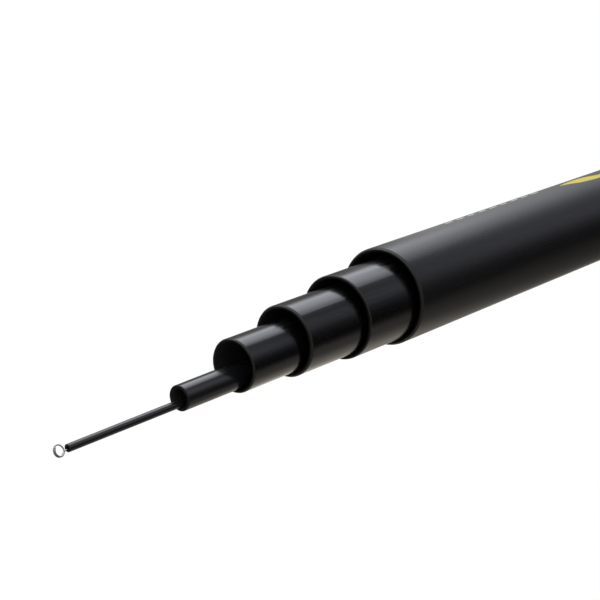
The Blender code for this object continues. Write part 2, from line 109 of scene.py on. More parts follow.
# Tubes: the mouth's outer edge has a bevel, so far in and so far back
Tube = namedtuple("Tube", "node body slot columns bevel_in bevel_back")
TUBES = (
    Tube("butt_tube", "butt", "butt_blank", 160, 0.44 * MM, 0.58 * MM),
    Tube("section_2", "second", "section_blank", 144, 0.24 * MM, 0.32 * MM),
    Tube("section_3", "third", "section_blank", 128, 0.38 * MM, 0.47 * MM),
    Tube("section_4", "fourth", "section_blank", 112, 0.27 * MM, 0.37 * MM),
    Tube("section_5", "fifth", "section_blank", 80, 0.13 * MM, 0.16 * MM),
    Tube("tip_section", "tip", "tip_blank", 56, 0.08 * MM, 0.10 * MM),
)
END_BAND = 0.3 * MM
RIM_ROUND = 0.13 * MM
BEVEL_ROUND = 0.03 * MM
CORNER_STEPS = 4
# Extra points this far from the ends of a span, if that is a small share of it
SUPPORTS = (0.25 * MM, 1.2 * MM, 8.0 * MM)
SUPPORT_SHARE = 0.2
LONG_SPAN = 100 * MM
LONG_SPAN_PARTS = 14
# A row with a smaller radius than this is one point on the axis
POINT_RADIUS = 1e-7

# Tip ring: the solid's wire, with its loop drawn slightly oval
RING_WIRE_RADIUS = 0.175 * MM
RING_HALF_LENGTH = 1.08 * MM
RING_HALF_HEIGHT = 1.30 * MM
RING_STAND = 1.30 * MM
RING_LIFT = 0.20 * MM
RING_TURNS = 1.5
RING_TURN_PITCH = 0.62 * MM
RING_YAW = math.radians(13)
RING_ROLL = math.radians(28)
RING_JOIN_ANGLE = math.radians(48)
RING_STEPS = 120
RING_SIDES = 18
HEADING_STEP = math.radians(0.5)
SHANK_DEPTH = 7.0 * MM
SHANK_STEPS = 8
SHANK_BEND_DEPTH = 1.4 * MM
SHANK_BEND_STEPS = 24
SHANK_EASE_OUT = 0.20
SHANK_EASE_IN = 0.25
WIRE_END_ROUND = 0.05 * MM

# Screw cap and what it holds, as the solids have them
FLUTES = 32
FLUTE_CUT_RADIUS = 0.55 * MM
FLUTE_CUT_CENTRE = 14.85 * MM
# Shares of a flute's half width at which it has a point
FLUTE_SPOTS = (-1.0, -0.72, -0.38, 0.0, 0.38, 0.72, 1.0)
FLANGE_RADIUS = 14.625 * MM
FLANGE_START = 0.8 * MM
FLANGE_END = 7.2 * MM
FLANGE_EDGE = 0.7 * MM
FLANGE_EDGE_STEPS = 6
FLANGE_ROWS = (0.0, 0.04, 0.2, 0.5, 0.8, 0.96, 1.0)
FINE_EDGE = 0.12 * MM
FLOOR_ROW = 4 * MM
RECESS_RADIUS = 10.65 * MM
RECESS_FLOOR = 2.75 * MM
CAP_FLOOR_END = 5.15 * MM
CAP_BORE = 8.996 * MM
CAP_NECK = 11.846 * MM
CAP_END = 20.2 * MM
THREAD_PITCH = 2.0 * MM
THREAD_START = 10.0 * MM
THREAD_END = 16.0 * MM
THREAD_CENTRE = 11.896 * MM
THREAD_ROUND = 0.55 * MM
THREAD_FADE = 0.35 * MM
THREAD_ROW = 0.1 * MM
THREAD_MARGIN = 0.7 * MM
WALL_MARGIN = 0.9 * MM
GROOVE_ROUND = 0.80 * MM
GROOVE_START = 7.2 * MM
GROOVE_END = 17.2 * MM
INSERT_START = 7.5 * MM
INSERT_FLANGE_END = 10.5 * MM
INSERT_END = 26.0 * MM
INSERT_WALL_ROW = 19.0 * MM
INSERT_FLANGE_RADIUS = 14.15 * MM
INSERT_RADIUS = 12.981 * MM
INSERT_BORE = 12.161 * MM
SEAT_RADIUS = 13.45 * MM
SEAT_END = 8.8 * MM
SEAL_RADIUS = 12.65 * MM
SEAL_WIRE = 0.65 * MM
SEAL_PLACE = 8.0 * MM
SEAL_SIDES = 24
PAD_RADIUS = 10.5 * MM
PAD_DEPTH = 2.6 * MM
PAD_GROOVE = (6.4 * MM, 7.6 * MM, 0.5 * MM)
PAD_GROOVE_EDGE = 0.18 * MM
PAD_FACE_EDGE = 0.5 * MM
PAD_BACK_EDGE = 0.2 * MM
PAD_DISH = 0.12 * MM
BUFFER_RADIUS = 11.5 * MM
BUFFER_START = 20.5 * MM
BUFFER_END = 25.5 * MM
BUFFER_EDGE = 1.0 * MM
BUFFER_BACK_EDGE = 0.3 * MM
PLUG_RADIUS = 8.846 * MM
PLUG_START = 14.2 * MM
PLUG_EDGE = 0.5 * MM
BUSH_EDGE = 0.04 * MM
ROUND_COLUMNS = 128
DISC_COLUMNS = 96
BUSH_COLUMNS = 40

# Paint on the butt, by the distance from the pad and the angle: lower and upper edge
FLASH_SPAN = (0.690, 1.0505)
FLASH_EDGES = (
    (0.690, 84.9, 85.0), (0.760, 81.5, 90.0), (1.0310, 81.5, 90.0), (1.0345, 81.5, 95.5),
    (1.0372, 82.5, 99.5), (1.0430, 85.5, 101.0), (1.0465, 91.5, 99.8), (1.0505, 96.3, 97.1),
)
FLASH_COLOUR = (0.57, 0.465, 0.004, 1.0)
LINE_ANGLE = 102.5
LINE_HALF_WIDTH = 1.9
LINE_SPAN = (1.0590, 1.1085)
DASH_PITCH = 5.5 * MM
DASH_SHARE = 0.62
LINE_COLOUR = (0.50, 0.51, 0.51, 1.0)
# Softness of the paint's edges: in degrees, along the rod, and as a share of a dash
PAINT_EDGE = 0.12
PAINT_END = 0.2 * MM
DASH_EDGE = 0.02
PAINT_WOBBLE = 0.08
HALF_TURN = 180.0

# Lacquer, and the bright wear along the flange's edges
DUST_COLOUR = (0.0042, 0.0041, 0.0040, 1.0)
LENGTHWISE_BLUR = 1.0
WEAR_EDGE = (3.20 * MM, 3.55 * MM)
WEAR_DEPTH = (0.9 * MM, 0.6 * MM)


def mixed(low, high, share):
    return low + (high - low) * share


class Nodes:
    """A node tree written as plain calls, with the piece's own coordinates at hand."""

    def __init__(self, tree):
        self.tree = tree
        self.coordinates = self.new("ShaderNodeTexCoord")
        self.place = self.coordinates.outputs["Object"]
        self.x, self.y, self.z = self.split(self.place)

    def new(self, kind):
        return self.tree.nodes.new(kind)

    def feed(self, socket, value):
        if isinstance(value, bpy.types.NodeSocket):
            self.tree.links.new(value, socket)
        else:
            socket.default_value = value

    def split(self, vector):
        node = self.new("ShaderNodeSeparateXYZ")
        self.feed(node.inputs[0], vector)
        return node.outputs

    def math(self, operation, *values):
        node = self.new("ShaderNodeMath")
        node.operation = operation
        for socket, value in zip(node.inputs, values):
            self.feed(socket, value)
        return node.outputs[0]

    def ranged(self, value, low, high, to_low=0.0, to_high=1.0, smooth=True):
        node = self.new("ShaderNodeMapRange")
        node.interpolation_type = "SMOOTHSTEP" if smooth else "LINEAR"
        for socket, number in zip(node.inputs, (value, low, high, to_low, to_high)):
            self.feed(socket, number)
        return node.outputs[0]

    def stretched(self, scale):
        node = self.new("ShaderNodeVectorMath")
        node.operation = "MULTIPLY"
        self.feed(node.inputs[0], self.place)
        self.feed(node.inputs[1], scale)
        return node.outputs[0]

    def joined(self, x, y):
        node = self.new("ShaderNodeCombineXYZ")
        for socket, value in zip(node.inputs, (x, y)):
            self.feed(socket, value)
        return node.outputs[0]

    def noise(self, scale, detail=2.0, roughness=0.5, vector=None):
        node = self.new("ShaderNodeTexNoise")
        self.feed(node.inputs["Vector"], self.place if vector is None else vector)
        self.feed(node.inputs["Scale"], scale)
        self.feed(node.inputs["Detail"], detail)
        self.feed(node.inputs["Roughness"], roughness)
        return node.outputs[0]

    def streaks(self, along, across, detail, roughness):
        """Noise drawn out along the piece, with its scales along and across."""
        return self.noise(1.0, detail, roughness, self.stretched((along, across, across)))

    def turned_marks(self, scale):
        """Fine lines round the axis, as a lathe leaves them."""
        along = self.math("MULTIPLY", self.x, scale)
        out = self.math("MULTIPLY", self.radius(), scale)
        return self.noise(1.0, 3.0, 0.6, self.joined(along, out))

    def cells(self, scale):
        node = self.new("ShaderNodeTexVoronoi")
        self.feed(node.inputs["Vector"], self.place)
        self.feed(node.inputs["Scale"], scale)
        return node.outputs["Distance"]

    def ramp(self, value, stops):
        node = self.new("ShaderNodeValToRGB")
        elements = node.color_ramp.elements
        while len(elements) > 1:
            elements.remove(elements[-1])
        for index, (place, colour) in enumerate(stops):
            element = elements[0] if index == 0 else elements.new(place)
            element.position = place
            element.color = colour if len(colour) == 4 else (*colour, 1.0)
        self.feed(node.inputs[0], value)
        return node.outputs[0]

    def blended(self, share, low, high):
        """A colour between two."""
        node = self.new("ShaderNodeMix")
        node.data_type = "RGBA"
        self.feed(node.inputs[0], share)
        self.feed(node.inputs[6], low)
        self.feed(node.inputs[7], high)
        return node.outputs[2]

    def between(self, share, low, high):
        """A number between two."""
        node = self.new("ShaderNodeMix")
        self.feed(node.inputs[0], share)
        self.feed(node.inputs[2], low)
        self.feed(node.inputs[3], high)
        return node.outputs[0]

    def bumped(self, height, distance, strength, normal=None):
        node = self.new("ShaderNodeBump")
        self.feed(node.inputs["Strength"], strength)
        self.feed(node.inputs["Distance"], distance)
        self.feed(node.inputs["Height"], height)
        if normal is not None:
            self.feed(node.inputs["Normal"], normal)
        return node.outputs[0]

    def radius(self):
        square = self.math("MULTIPLY_ADD", self.z, self.z, self.math("MULTIPLY", self.y, self.y))
        return self.math("SQRT", square)

    def degrees(self):
        return self.math("MULTIPLY", self.math("ARCTAN2", self.z, self.y), math.degrees(1))

    def background_rays(self):
        """One for the rays that see the background: the camera's, mirrored and passed ones."""
        path = self.new("ShaderNodeLightPath")
        seen = self.math("MAXIMUM", path.outputs["Is Camera Ray"], path.outputs["Is Glossy Ray"])
        return self.math("MAXIMUM", seen, path.outputs["Is Transmission Ray"])


def new_material(name):
    material = bpy.data.materials.new(name)
    material.use_nodes = True
    nodes = Nodes(material.node_tree)
    nodes.shader = material.node_tree.nodes["Principled BSDF"]
    return material, nodes


def finish_material(nodes, colour=None, roughness=None, normal=None, **fixed):
    """Links what varies over the surface and sets the rest on the shader itself."""
    shader = nodes.shader
    if colour is not None:
        nodes.feed(shader.inputs["Base Color"], colour)
    if roughness is not None:
        nodes.feed(shader.inputs["Roughness"], roughness)
    if normal is not None:
        nodes.feed(shader.inputs["Normal"], normal)
    for name, value in fixed.items():
        shader.inputs[name.replace("_", " ")].default_value = value


def painted_masks(nodes, base_x):
    """Where the yellow flash and the thin broken line lie on the butt."""
    along = nodes.math("ADD", nodes.x, base_x)
    angle = nodes.degrees()
    low, high = FLASH_SPAN
    share = nodes.ranged(along, low, high, smooth=False)
    stops = [
        ((x - low) / (high - low), (bottom / HALF_TURN, top / HALF_TURN, 0.0))
        for x, bottom, top in FLASH_EDGES
    ]
    ramp = nodes.ramp(share, stops)
    edges = nodes.new("ShaderNodeSeparateColor")
    nodes.feed(edges.inputs[0], ramp)
    bottom = nodes.math("MULTIPLY", edges.outputs[0], HALF_TURN)
    top = nodes.math("MULTIPLY", edges.outputs[1], HALF_TURN)
    wobble = nodes.math("MULTIPLY", nodes.noise(2500.0), 2 * PAINT_WOBBLE)
    angle = nodes.math("ADD", angle, nodes.math("SUBTRACT", wobble, PAINT_WOBBLE))
    flash = nodes.math(
        "MULTIPLY",
        nodes.ranged(nodes.math("SUBTRACT", angle, bottom), -PAINT_EDGE, PAINT_EDGE),
        nodes.ranged(nodes.math("SUBTRACT", top, angle), -PAINT_EDGE, PAINT_EDGE),
    )
    inside = nodes.math(
        "MULTIPLY",
        nodes.ranged(along, low, low + PAINT_END),
        nodes.ranged(along, high, high - PAINT_END),
    )
    flash = nodes.math("MULTIPLY", flash, inside)
    off_line = nodes.math("ABSOLUTE", nodes.math("SUBTRACT", angle, LINE_ANGLE))
    line = nodes.ranged(off_line, LINE_HALF_WIDTH + PAINT_EDGE, LINE_HALF_WIDTH - PAINT_EDGE)
    start, end = LINE_SPAN
    line = nodes.math("MULTIPLY", line, nodes.ranged(along, start, start + PAINT_END))
    line = nodes.math("MULTIPLY", line, nodes.ranged(along, end, end - PAINT_END))
    dashes = nodes.math("DIVIDE", nodes.math("SUBTRACT", end, along), DASH_PITCH)
    phase = nodes.math("FRACT", dashes)
    dash = nodes.ranged(phase, DASH_SHARE + DASH_EDGE, DASH_SHARE - DASH_EDGE)
    return flash, nodes.math("MULTIPLY", line, dash)


def make_butt_lacquer(base_x):
    """Satin black lacquer with a fine orange peel, and paint under a thin clear coat."""
    material, nodes = new_material("butt_lacquer")
    cloud = nodes.noise(35.0, 3.0)
    base = nodes.blended(cloud, (0.0024, 0.0024, 0.0027, 1.0), (0.0042, 0.0041, 0.0045, 1.0))
    rub = nodes.streaks(14.0, 420.0, 4.0, 0.6)
    worn = nodes.math("ADD", rub, nodes.math("MULTIPLY", cloud, 0.5))
    roughness = nodes.ranged(worn, 0.4, 1.0, 0.24, 0.30)
    peel = nodes.bumped(nodes.noise(1100.0, 2.0), 0.000012, 0.5)
    wave = nodes.bumped(nodes.streaks(40.0, 110.0, 2.0, 0.5), 0.00006, 0.35, peel)
    flash, line = painted_masks(nodes, base_x)
    colour = nodes.blended(flash, base, FLASH_COLOUR)
    colour = nodes.blended(line, colour, LINE_COLOUR)
    paint = nodes.math("MAXIMUM", flash, line)
    roughness = nodes.between(paint, roughness, 0.42)
    step = nodes.bumped(paint, 0.00002, 0.6, wave)
    finish_material(nodes, colour, roughness, step, IOR=1.43)
    return material


def make_gloss_lacquer(name, base, roughness, rub_size, grain_size, grain_height, waviness):
    """Polished black lacquer over lengthwise fibres, rubbed along by sliding and a bit dusty."""
    material, nodes = new_material(name)
    cloud = nodes.noise(60.0, 2.0)
    dark = tuple(value * 0.75 for value in base)
    light = tuple(value * 1.25 for value in base)
    colour = nodes.blended(cloud, (*dark, 1.0), (*light, 1.0))
    dust = nodes.ranged(nodes.noise(1300.0, 3.0, 0.6), 0.52, 0.70)
    colour = nodes.blended(dust, colour, DUST_COLOUR)
    streak = nodes.streaks(12.0, rub_size, 5.0, 0.65)
    haze = nodes.ranged(streak, 0.42, 0.72, roughness[0], roughness[1])
    grain = nodes.streaks(18.0, grain_size, 3.0, 0.5)
    fine = nodes.bumped(grain, grain_height, 1.0)
    wave = nodes.streaks(55.0, 170.0, 1.0, 0.4)
    normal = nodes.bumped(wave, waviness, 1.0, fine)
    # The rubbed lacquer blurs what it mirrors along the tube's axis and not round it
    nodes.feed(nodes.shader.inputs["Tangent"], nodes.joined(1.0, 0.0))
    finish_material(nodes, colour, haze, normal, IOR=1.5, Anisotropic=LENGTHWISE_BLUR)
    return material


def make_cut_end():
    """The ground end of a wound tube: thin resin and fibre layers, edge-on."""
    material, nodes = new_material("cut_laminate")
    radius = nodes.radius()
    angle = nodes.math("ARCTAN2", nodes.z, nodes.y)
    drift = nodes.noise(260.0, 2.0)
    layers = nodes.math("MULTIPLY_ADD", drift, 2.2, nodes.math("MULTIPLY", radius, 34000.0))
    bands = nodes.math("MULTIPLY_ADD", nodes.math("SINE", layers), 0.5, 0.5)
    speck = nodes.noise(5200.0, 2.0)
    share = nodes.math("MULTIPLY", bands, nodes.ranged(speck, 0.3, 0.7, 0.55, 1.0))
    colour = nodes.blended(share, (0.0050, 0.0045, 0.0028, 1.0), (0.024, 0.0215, 0.0130, 1.0))
    nick = nodes.ranged(nodes.noise(950.0, 1.0), 0.735, 0.76)
    colour = nodes.blended(nick, colour, (0.30, 0.29, 0.26, 1.0))
    seam = nodes.math("MULTIPLY", nodes.math("SINE", nodes.math("MULTIPLY", angle, 3.0)), 0.02)
    roughness = nodes.ranged(nodes.math("ADD", speck, seam), 0.3, 0.7, 0.42, 0.58)
    normal = nodes.bumped(nodes.math("ADD", bands, speck), 0.00001, 0.5)
    finish_material(nodes, colour, roughness, normal, IOR=1.37)
    return material


def make_end_face():
    """The flat ring of the cut end, sealed with matt black."""
    material, nodes = new_material("sealed_end")
    speck = nodes.noise(4200.0, 3.0, 0.6)
    colour = nodes.blended(speck, (0.0012, 0.0012, 0.0014, 1.0), (0.0042, 0.0040, 0.0038, 1.0))
    roughness = nodes.ranged(speck, 0.3, 0.7, 0.6, 0.8)
    normal = nodes.bumped(speck, 0.00001, 0.6)
    finish_material(nodes, colour, roughness, normal, IOR=1.4, Specular_IOR_Level=0.15)
    return material


def make_bore():
    """The unpolished inside of a tube, with the long marks of the mandrel."""
    material, nodes = new_material("bore_matt")
    marks = nodes.streaks(10.0, 900.0, 4.0, 0.6)
    colour = nodes.blended(marks, (0.0145, 0.0147, 0.0162, 1.0), (0.0320, 0.0325, 0.0355, 1.0))
    roughness = nodes.ranged(marks, 0.35, 0.7, 0.5, 0.7)
    normal = nodes.bumped(marks, 0.000006, 0.5)
    finish_material(nodes, colour, roughness, normal, IOR=1.4, Specular_IOR_Level=0.2)
    return material


def make_metal(name, base, roughness, line_height, lines, tarnish):
    """Bare metal with fine marks: lines round the axis if turned, a grain if drawn."""
    material, nodes = new_material(name)
    marks = nodes.turned_marks(9000.0) if lines == "turned" else nodes.noise(9000.0, 3.0, 0.6)
    cloud = nodes.noise(420.0, 3.0)
    dull = tuple(value * (1 - tarnish) for value in base)
    colour = nodes.blended(nodes.ranged(cloud, 0.35, 0.7), (*base, 1.0), (*dull, 1.0))
    rough = nodes.ranged(nodes.math("ADD", marks, cloud), 0.7, 1.3, roughness[0], roughness[1])
    normal = nodes.bumped(marks, line_height, 0.7)
    finish_material(nodes, colour, rough, normal, Metallic=1.0)
    return material


def make_anodised():
    """Black anodised aluminium, worn bright along its outer edges."""
    material, nodes = new_material("black_anodised")
    marks = nodes.turned_marks(7000.0)
    cloud = nodes.noise(300.0, 3.0)
    radius = nodes.radius()
    middle = 0.5 * (FLANGE_START + FLANGE_END)
    off = nodes.math("ABSOLUTE", nodes.math("SUBTRACT", nodes.x, middle))
    edge = nodes.math("ADD", off, nodes.math("SUBTRACT", radius, FLANGE_RADIUS - FLANGE_EDGE))
    near = nodes.ranged(edge, *WEAR_EDGE)
    outer = nodes.ranged(radius, *(FLANGE_RADIUS - depth for depth in WEAR_DEPTH))
    patch = nodes.ranged(nodes.noise(900.0, 4.0, 0.65), 0.50, 0.62)
    wear = nodes.math("MULTIPLY", nodes.math("MULTIPLY", near, outer), patch)
    dark = nodes.blended(cloud, (0.010, 0.010, 0.011, 1.0), (0.020, 0.020, 0.022, 1.0))
    colour = nodes.blended(wear, dark, (0.45, 0.45, 0.46, 1.0))
    roughness = nodes.ranged(nodes.math("ADD", marks, cloud), 0.7, 1.3, 0.30, 0.42)
    normal = nodes.bumped(marks, 0.000008, 0.6)
    nodes.feed(nodes.shader.inputs["Metallic"], nodes.between(wear, 0.35, 1.0))
    finish_material(nodes, colour, roughness, normal, IOR=1.6)
    return material


def make_rubber(name, base, roughness, grain, height, dust=0.0):
    """Moulded rubber with a fine grain and random paler patches that hold a little dust."""
    material, nodes = new_material(name)
    fine = nodes.noise(grain, 3.0, 0.6)
    cloud = nodes.noise(240.0, 3.0)
    pale = tuple(value * 1.6 + dust for value in base)
    colour = nodes.blended(nodes.ranged(cloud, 0.42, 0.72), (*base, 1.0), (*pale, 1.0))
    rough = nodes.ranged(fine, 0.3, 0.7, roughness[0], roughness[1])
    normal = nodes.bumped(fine, height, 0.8)
    finish_material(nodes, colour, rough, normal, IOR=1.5)
    return material


def make_foam():
    """Closed-cell foam: small pores of two sizes, painted darker as shade inside them."""
    material, nodes = new_material("closed_cell_foam")
    large = nodes.ranged(nodes.cells(1300.0), 0.10, 0.45)
    small = nodes.ranged(nodes.cells(3400.0), 0.10, 0.45)
    skin_and_pore_shade = nodes.math("MULTIPLY", large, nodes.ranged(small, 0.0, 1.0, 0.6, 1.0))
    # Painted shade: the pores get a darker colour from the same mask that dents them
    colour = nodes.blended(skin_and_pore_shade, (0.045, 0.045, 0.047, 1.0), (0.125, 0.125, 0.132, 1.0))
    normal = nodes.bumped(skin_and_pore_shade, 0.00015, 0.9)
    finish_material(nodes, colour, None, normal, Roughness=0.95, IOR=1.4)
    return material


def ring_of(x, radius, columns):
    return [
        Vector((x, radius * math.cos(TURN * i / columns), radius * math.sin(TURN * i / columns)))
        for i in range(columns)
    ]


def mesh_of(name, rows, bands, materials, around=False):
    """A mesh through rows of points. A row of one point closes an end, and bands name materials."""
    points = []
    starts = []
    for row in rows:
        starts.append(len(points))
        points.extend(row)
    pairs = list(zip(range(len(rows) - 1), range(1, len(rows))))
    if around:
        pairs.append((len(rows) - 1, 0))
    faces = []
    slots = []
    for (first, second), band in zip(pairs, bands):
        count = max(len(rows[first]), len(rows[second]))
        for i in range(count):
            j = (i + 1) % count
            near = (i, j) if len(rows[first]) > 1 else (0,)
            far = (j, i) if len(rows[second]) > 1 else (0,)
            faces.append([starts[first] + k for k in near] + [starts[second] + k for k in far])
            slots.append(band)
    mesh = bpy.data.meshes.new(name)
    mesh.from_pydata(points, [], faces)
    mesh.polygons.foreach_set("material_index", slots)
    builder = bmesh.new()
    builder.from_mesh(mesh)
    bmesh.ops.recalc_face_normals(builder, faces=builder.faces)
    builder.to_mesh(mesh)
    builder.free()
    mesh.shade_smooth()
    mesh.set_sharp_from_angle(angle=SMOOTH_ANGLE)
    for material in materials:
        mesh.materials.append(material)
    return mesh


def add_piece(name, mesh, matrix, body, slot, *nodes):
    piece = bpy.data.objects.new(name, mesh)
    bpy.context.scene.collection.objects.link(piece)
    piece.matrix_world = matrix
    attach(piece, body)
    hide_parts(*nodes)


def rounded(corners, around=True):
    """Profile points (x, radius, band) from corners (x, radius, rounding, band of what follows)."""
    made = []
    last = len(corners) - 1
    for index, (x, radius, rounding, band) in enumerate(corners):
        here = Vector((x, radius))
        if rounding == 0 or (not around and index in (0, last)):
            made.append((x, radius, band))
            continue
        before = corners[index - 1]
        after = corners[(index + 1) % len(corners)]
        start = here + rounding * (Vector(before[:2]) - here).normalized()
        end = here + rounding * (Vector(after[:2]) - here).normalized()
        for step in range(CORNER_STEPS + 1):
            share = step / CORNER_STEPS
            spot = start.lerp(here, share).lerp(here.lerp(end, share), share)
            made.append((spot.x, spot.y, before[3] if step < CORNER_STEPS // 2 else band))
    return made


def supported(profile, around=True):
    """The profile with extra points on its long spans, close to their ends first."""
    made = []
    count = len(profile)
    for index, (x, radius, band) in enumerate(profile):
        made.append((x, radius, band))
        if index == count - 1 and not around:
            break
        to_x, to_radius, _ = profile[(index + 1) % count]
        length = math.hypot(to_x - x, to_radius - radius)
        near = [s / length for s in SUPPORTS if s < SUPPORT_SHARE * length]
        if not near:
            continue
        inner = []
        if length > LONG_SPAN:
            parts = range(1, LONG_SPAN_PARTS)
            inner = [mixed(near[-1], 1 - near[-1], i / LONG_SPAN_PARTS) for i in parts]
        for share in near + inner + [1 - s for s in reversed(near)]:
            made.append((mixed(x, to_x, share), mixed(radius, to_radius, share), band))
    return made


def turned(name, corners, columns, materials, around=True):
    """A turned form from its corners, in its own frame."""
    profile = supported(rounded(corners, around), around)
    rows = [
        ring_of(x, radius, columns) if radius > POINT_RADIUS else [Vector((x, 0.0, 0.0))]
        for x, radius, _ in profile
    ]
    return mesh_of(name, rows, [band for _, _, band in profile], materials, around)


def tube_ends(node):
    """(centre, outer radius, bore radius) of a tube's base and of its mouth."""
    points = [vertex.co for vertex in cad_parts[node].data.vertices]
    ends = []
    for sign in (-1, 1):
        reach = max(sign * point.x for point in points)
        ring = [point for point in points if reach - sign * point.x < END_BAND]
        middle = [
            0.5 * (min(p[axis] for p in ring) + max(p[axis] for p in ring)) for axis in (1, 2)
        ]
        away = [math.hypot(p.y - middle[0], p.z - middle[1]) for p in ring]
        ends.append((Vector((sign * reach, *middle)), max(away), min(away)))
    return ends


def axis_frame(base, mouth):
    """A frame at the base with X along the axis and Y level."""
    along = (mouth - base).normalized()
    up = along.cross(Vector((0.0, 1.0, 0.0))).normalized()
    level = up.cross(along)
    matrix = Matrix((along, level, up)).transposed().to_4x4()
    matrix.translation = base
    return matrix


def make_tube(tube, materials):
    """A tube whose materials are its lacquer, its bevel, its bore and its flat ends."""
    (base, base_outer, base_bore), (mouth, mouth_outer, mouth_bore) = tube_ends(tube.node)
    length = (mouth - base).length
    corners = [
        (0.0, base_outer, RIM_ROUND, 0),
        (length - tube.bevel_back, mouth_outer, BEVEL_ROUND, 1),
        (length, mouth_outer - tube.bevel_in, BEVEL_ROUND, 3),
        (length, mouth_bore, RIM_ROUND, 2),
        (0.0, base_bore, RIM_ROUND, 3),
    ]
    name = tube.node + "_form"
    mesh = turned(name, corners, tube.columns, materials)
    matrix = axis_frame(base, mouth)
    add_piece(name, mesh, matrix, tube.body, tube.slot, tube.node)
    return matrix, length


def bezier(controls, share):
    """The point at a share of the way along the curve of any number of controls."""
    points = list(controls)
    while len(points) > 1:
        points = [a.lerp(b, share) for a, b in zip(points, points[1:])]
    return points[0]


def ring_path():
    """The wire's middle line from inside the tip, with X out of the mouth and Z up."""
    start_angle = math.pi - RING_JOIN_ANGLE
    centre = Vector((RING_HALF_LENGTH + RING_STAND, 0.0, RING_LIFT))
    turn = Matrix.Rotation(RING_ROLL, 3, "X") @ Matrix.Rotation(-RING_YAW, 3, "Z")
    span = RING_TURN_PITCH * RING_TURNS

    def on_ring(angle):
        along = RING_TURN_PITCH * (start_angle - angle) / TURN - 0.5 * span
        out = RING_HALF_LENGTH * math.cos(angle)
        return centre + turn @ Vector((out, along, -RING_HALF_HEIGHT * math.sin(angle)))

    path = [
        Vector((mixed(-SHANK_DEPTH, -SHANK_BEND_DEPTH, i / SHANK_STEPS), 0.0, 0.0))
        for i in range(SHANK_STEPS)
    ]
    bend_start = Vector((-SHANK_BEND_DEPTH, 0.0, 0.0))
    first = on_ring(start_angle)
    heading = (on_ring(start_angle - HEADING_STEP) - first).normalized()
    span_out = (first - bend_start).length
    controls = [
        bend_start,
        bend_start + Vector((SHANK_EASE_OUT * span_out, 0.0, 0.0)),
        first - heading * SHANK_EASE_IN * span_out,
        first,
    ]
    path += [bezier(controls, step / SHANK_BEND_STEPS) for step in range(SHANK_BEND_STEPS)]
    path += [
        on_ring(start_angle - TURN * RING_TURNS * step / RING_STEPS) for step in range(RING_STEPS + 1)
    ]
    return path


def swept(name, path, radius, sides, materials):
    """A round wire along a path, with slightly rounded cut ends."""
    tangents = []
    for index in range(len(path)):
        before = path[max(index - 1, 0)]
        after = path[min(index + 1, len(path) - 1)]
        tangents.append((after - before).normalized())
    side = tangents[0].orthogonal().normalized()
    rows = []
    for index, (point, tangent) in enumerate(zip(path, tangents)):
        side = (side - tangent * side.dot(tangent)).normalized()
        up = tangent.cross(side)
        rows.append([
            point + radius * (side * math.cos(TURN * i / sides) + up * math.sin(TURN * i / sides))
            for i in range(sides)
        ])
    share = 1 - WIRE_END_ROUND / radius
    closed = []
    for row, point, step in ((rows[0], path[0], path[1]), (rows[-1], path[-1], path[-2])):
        inward = (step - point).normalized() * WIRE_END_ROUND
        end = [point.lerp(spot, share) for spot in row]
        for index, spot in enumerate(row):
            row[index] = spot + inward
        closed.append(([point], end))
    rows = [closed[0][0], closed[0][1]] + rows + [closed[1][1], closed[1][0]]
    return mesh_of(name, rows, [0] * (len(rows) - 1), materials)


def helix_offset(x, angle, start, end):
    """How far x lies from the nearest turn of the thread, and how much of the turn there is."""
    phase = THREAD_PITCH * (angle + 0.5 * math.pi) / TURN
    turn = round((x - phase) / THREAD_PITCH)
    best = (THREAD_PITCH, 0.0)
    for index in (turn - 1, turn, turn + 1):
        centre = phase + index * THREAD_PITCH
        inside = min(centre - start, end - centre)
        if inside < 0:
            continue
        share = min(1.0, inside / THREAD_FADE)
        offset = abs(x - centre)
        if offset < best[0]:
            best = (offset, share * share * (3 - 2 * share))
    return best


def thread_rows(x_values, angles, wall, rounding, start, end):
    """Rows of a threaded wall: the thread stands out from it, or is cut into it."""
    rows = []
    for x in x_values:
        row = []
        for angle in angles:
            offset, share = helix_offset(x, angle, start, end)
            radius = wall
            if offset < rounding:
                crest = THREAD_CENTRE + math.sqrt(rounding * rounding - offset * offset)
                radius = wall + max(0.0, crest - wall) * share
            row.append(Vector((x, radius * math.cos(angle), radius * math.sin(angle))))
        rows.append(row)
    return rows


def spaced(start, end, step):
    """Numbers from start to end, evenly spaced by about the step."""
    count = max(1, round((end - start) / step))
    return [mixed(start, end, i / count) for i in range(count + 1)]


def flute_angles():
    """Angles round the cap, close together in each flute, and the radius there."""
    rise = FLUTE_CUT_CENTRE - FLANGE_RADIUS
    half = math.sqrt(FLUTE_CUT_RADIUS ** 2 - rise ** 2)
    pitch = TURN / FLUTES
    spots = []
    for flute in range(FLUTES):
        middle = pitch * (flute + 0.5)
        for spot in FLUTE_SPOTS:
            offset = spot * half
            radius = FLUTE_CUT_CENTRE - math.sqrt(FLUTE_CUT_RADIUS ** 2 - offset ** 2)
            spots.append((middle + offset / FLANGE_RADIUS, radius))
        spots.append((middle + 0.5 * pitch, FLANGE_RADIUS))
    return spots


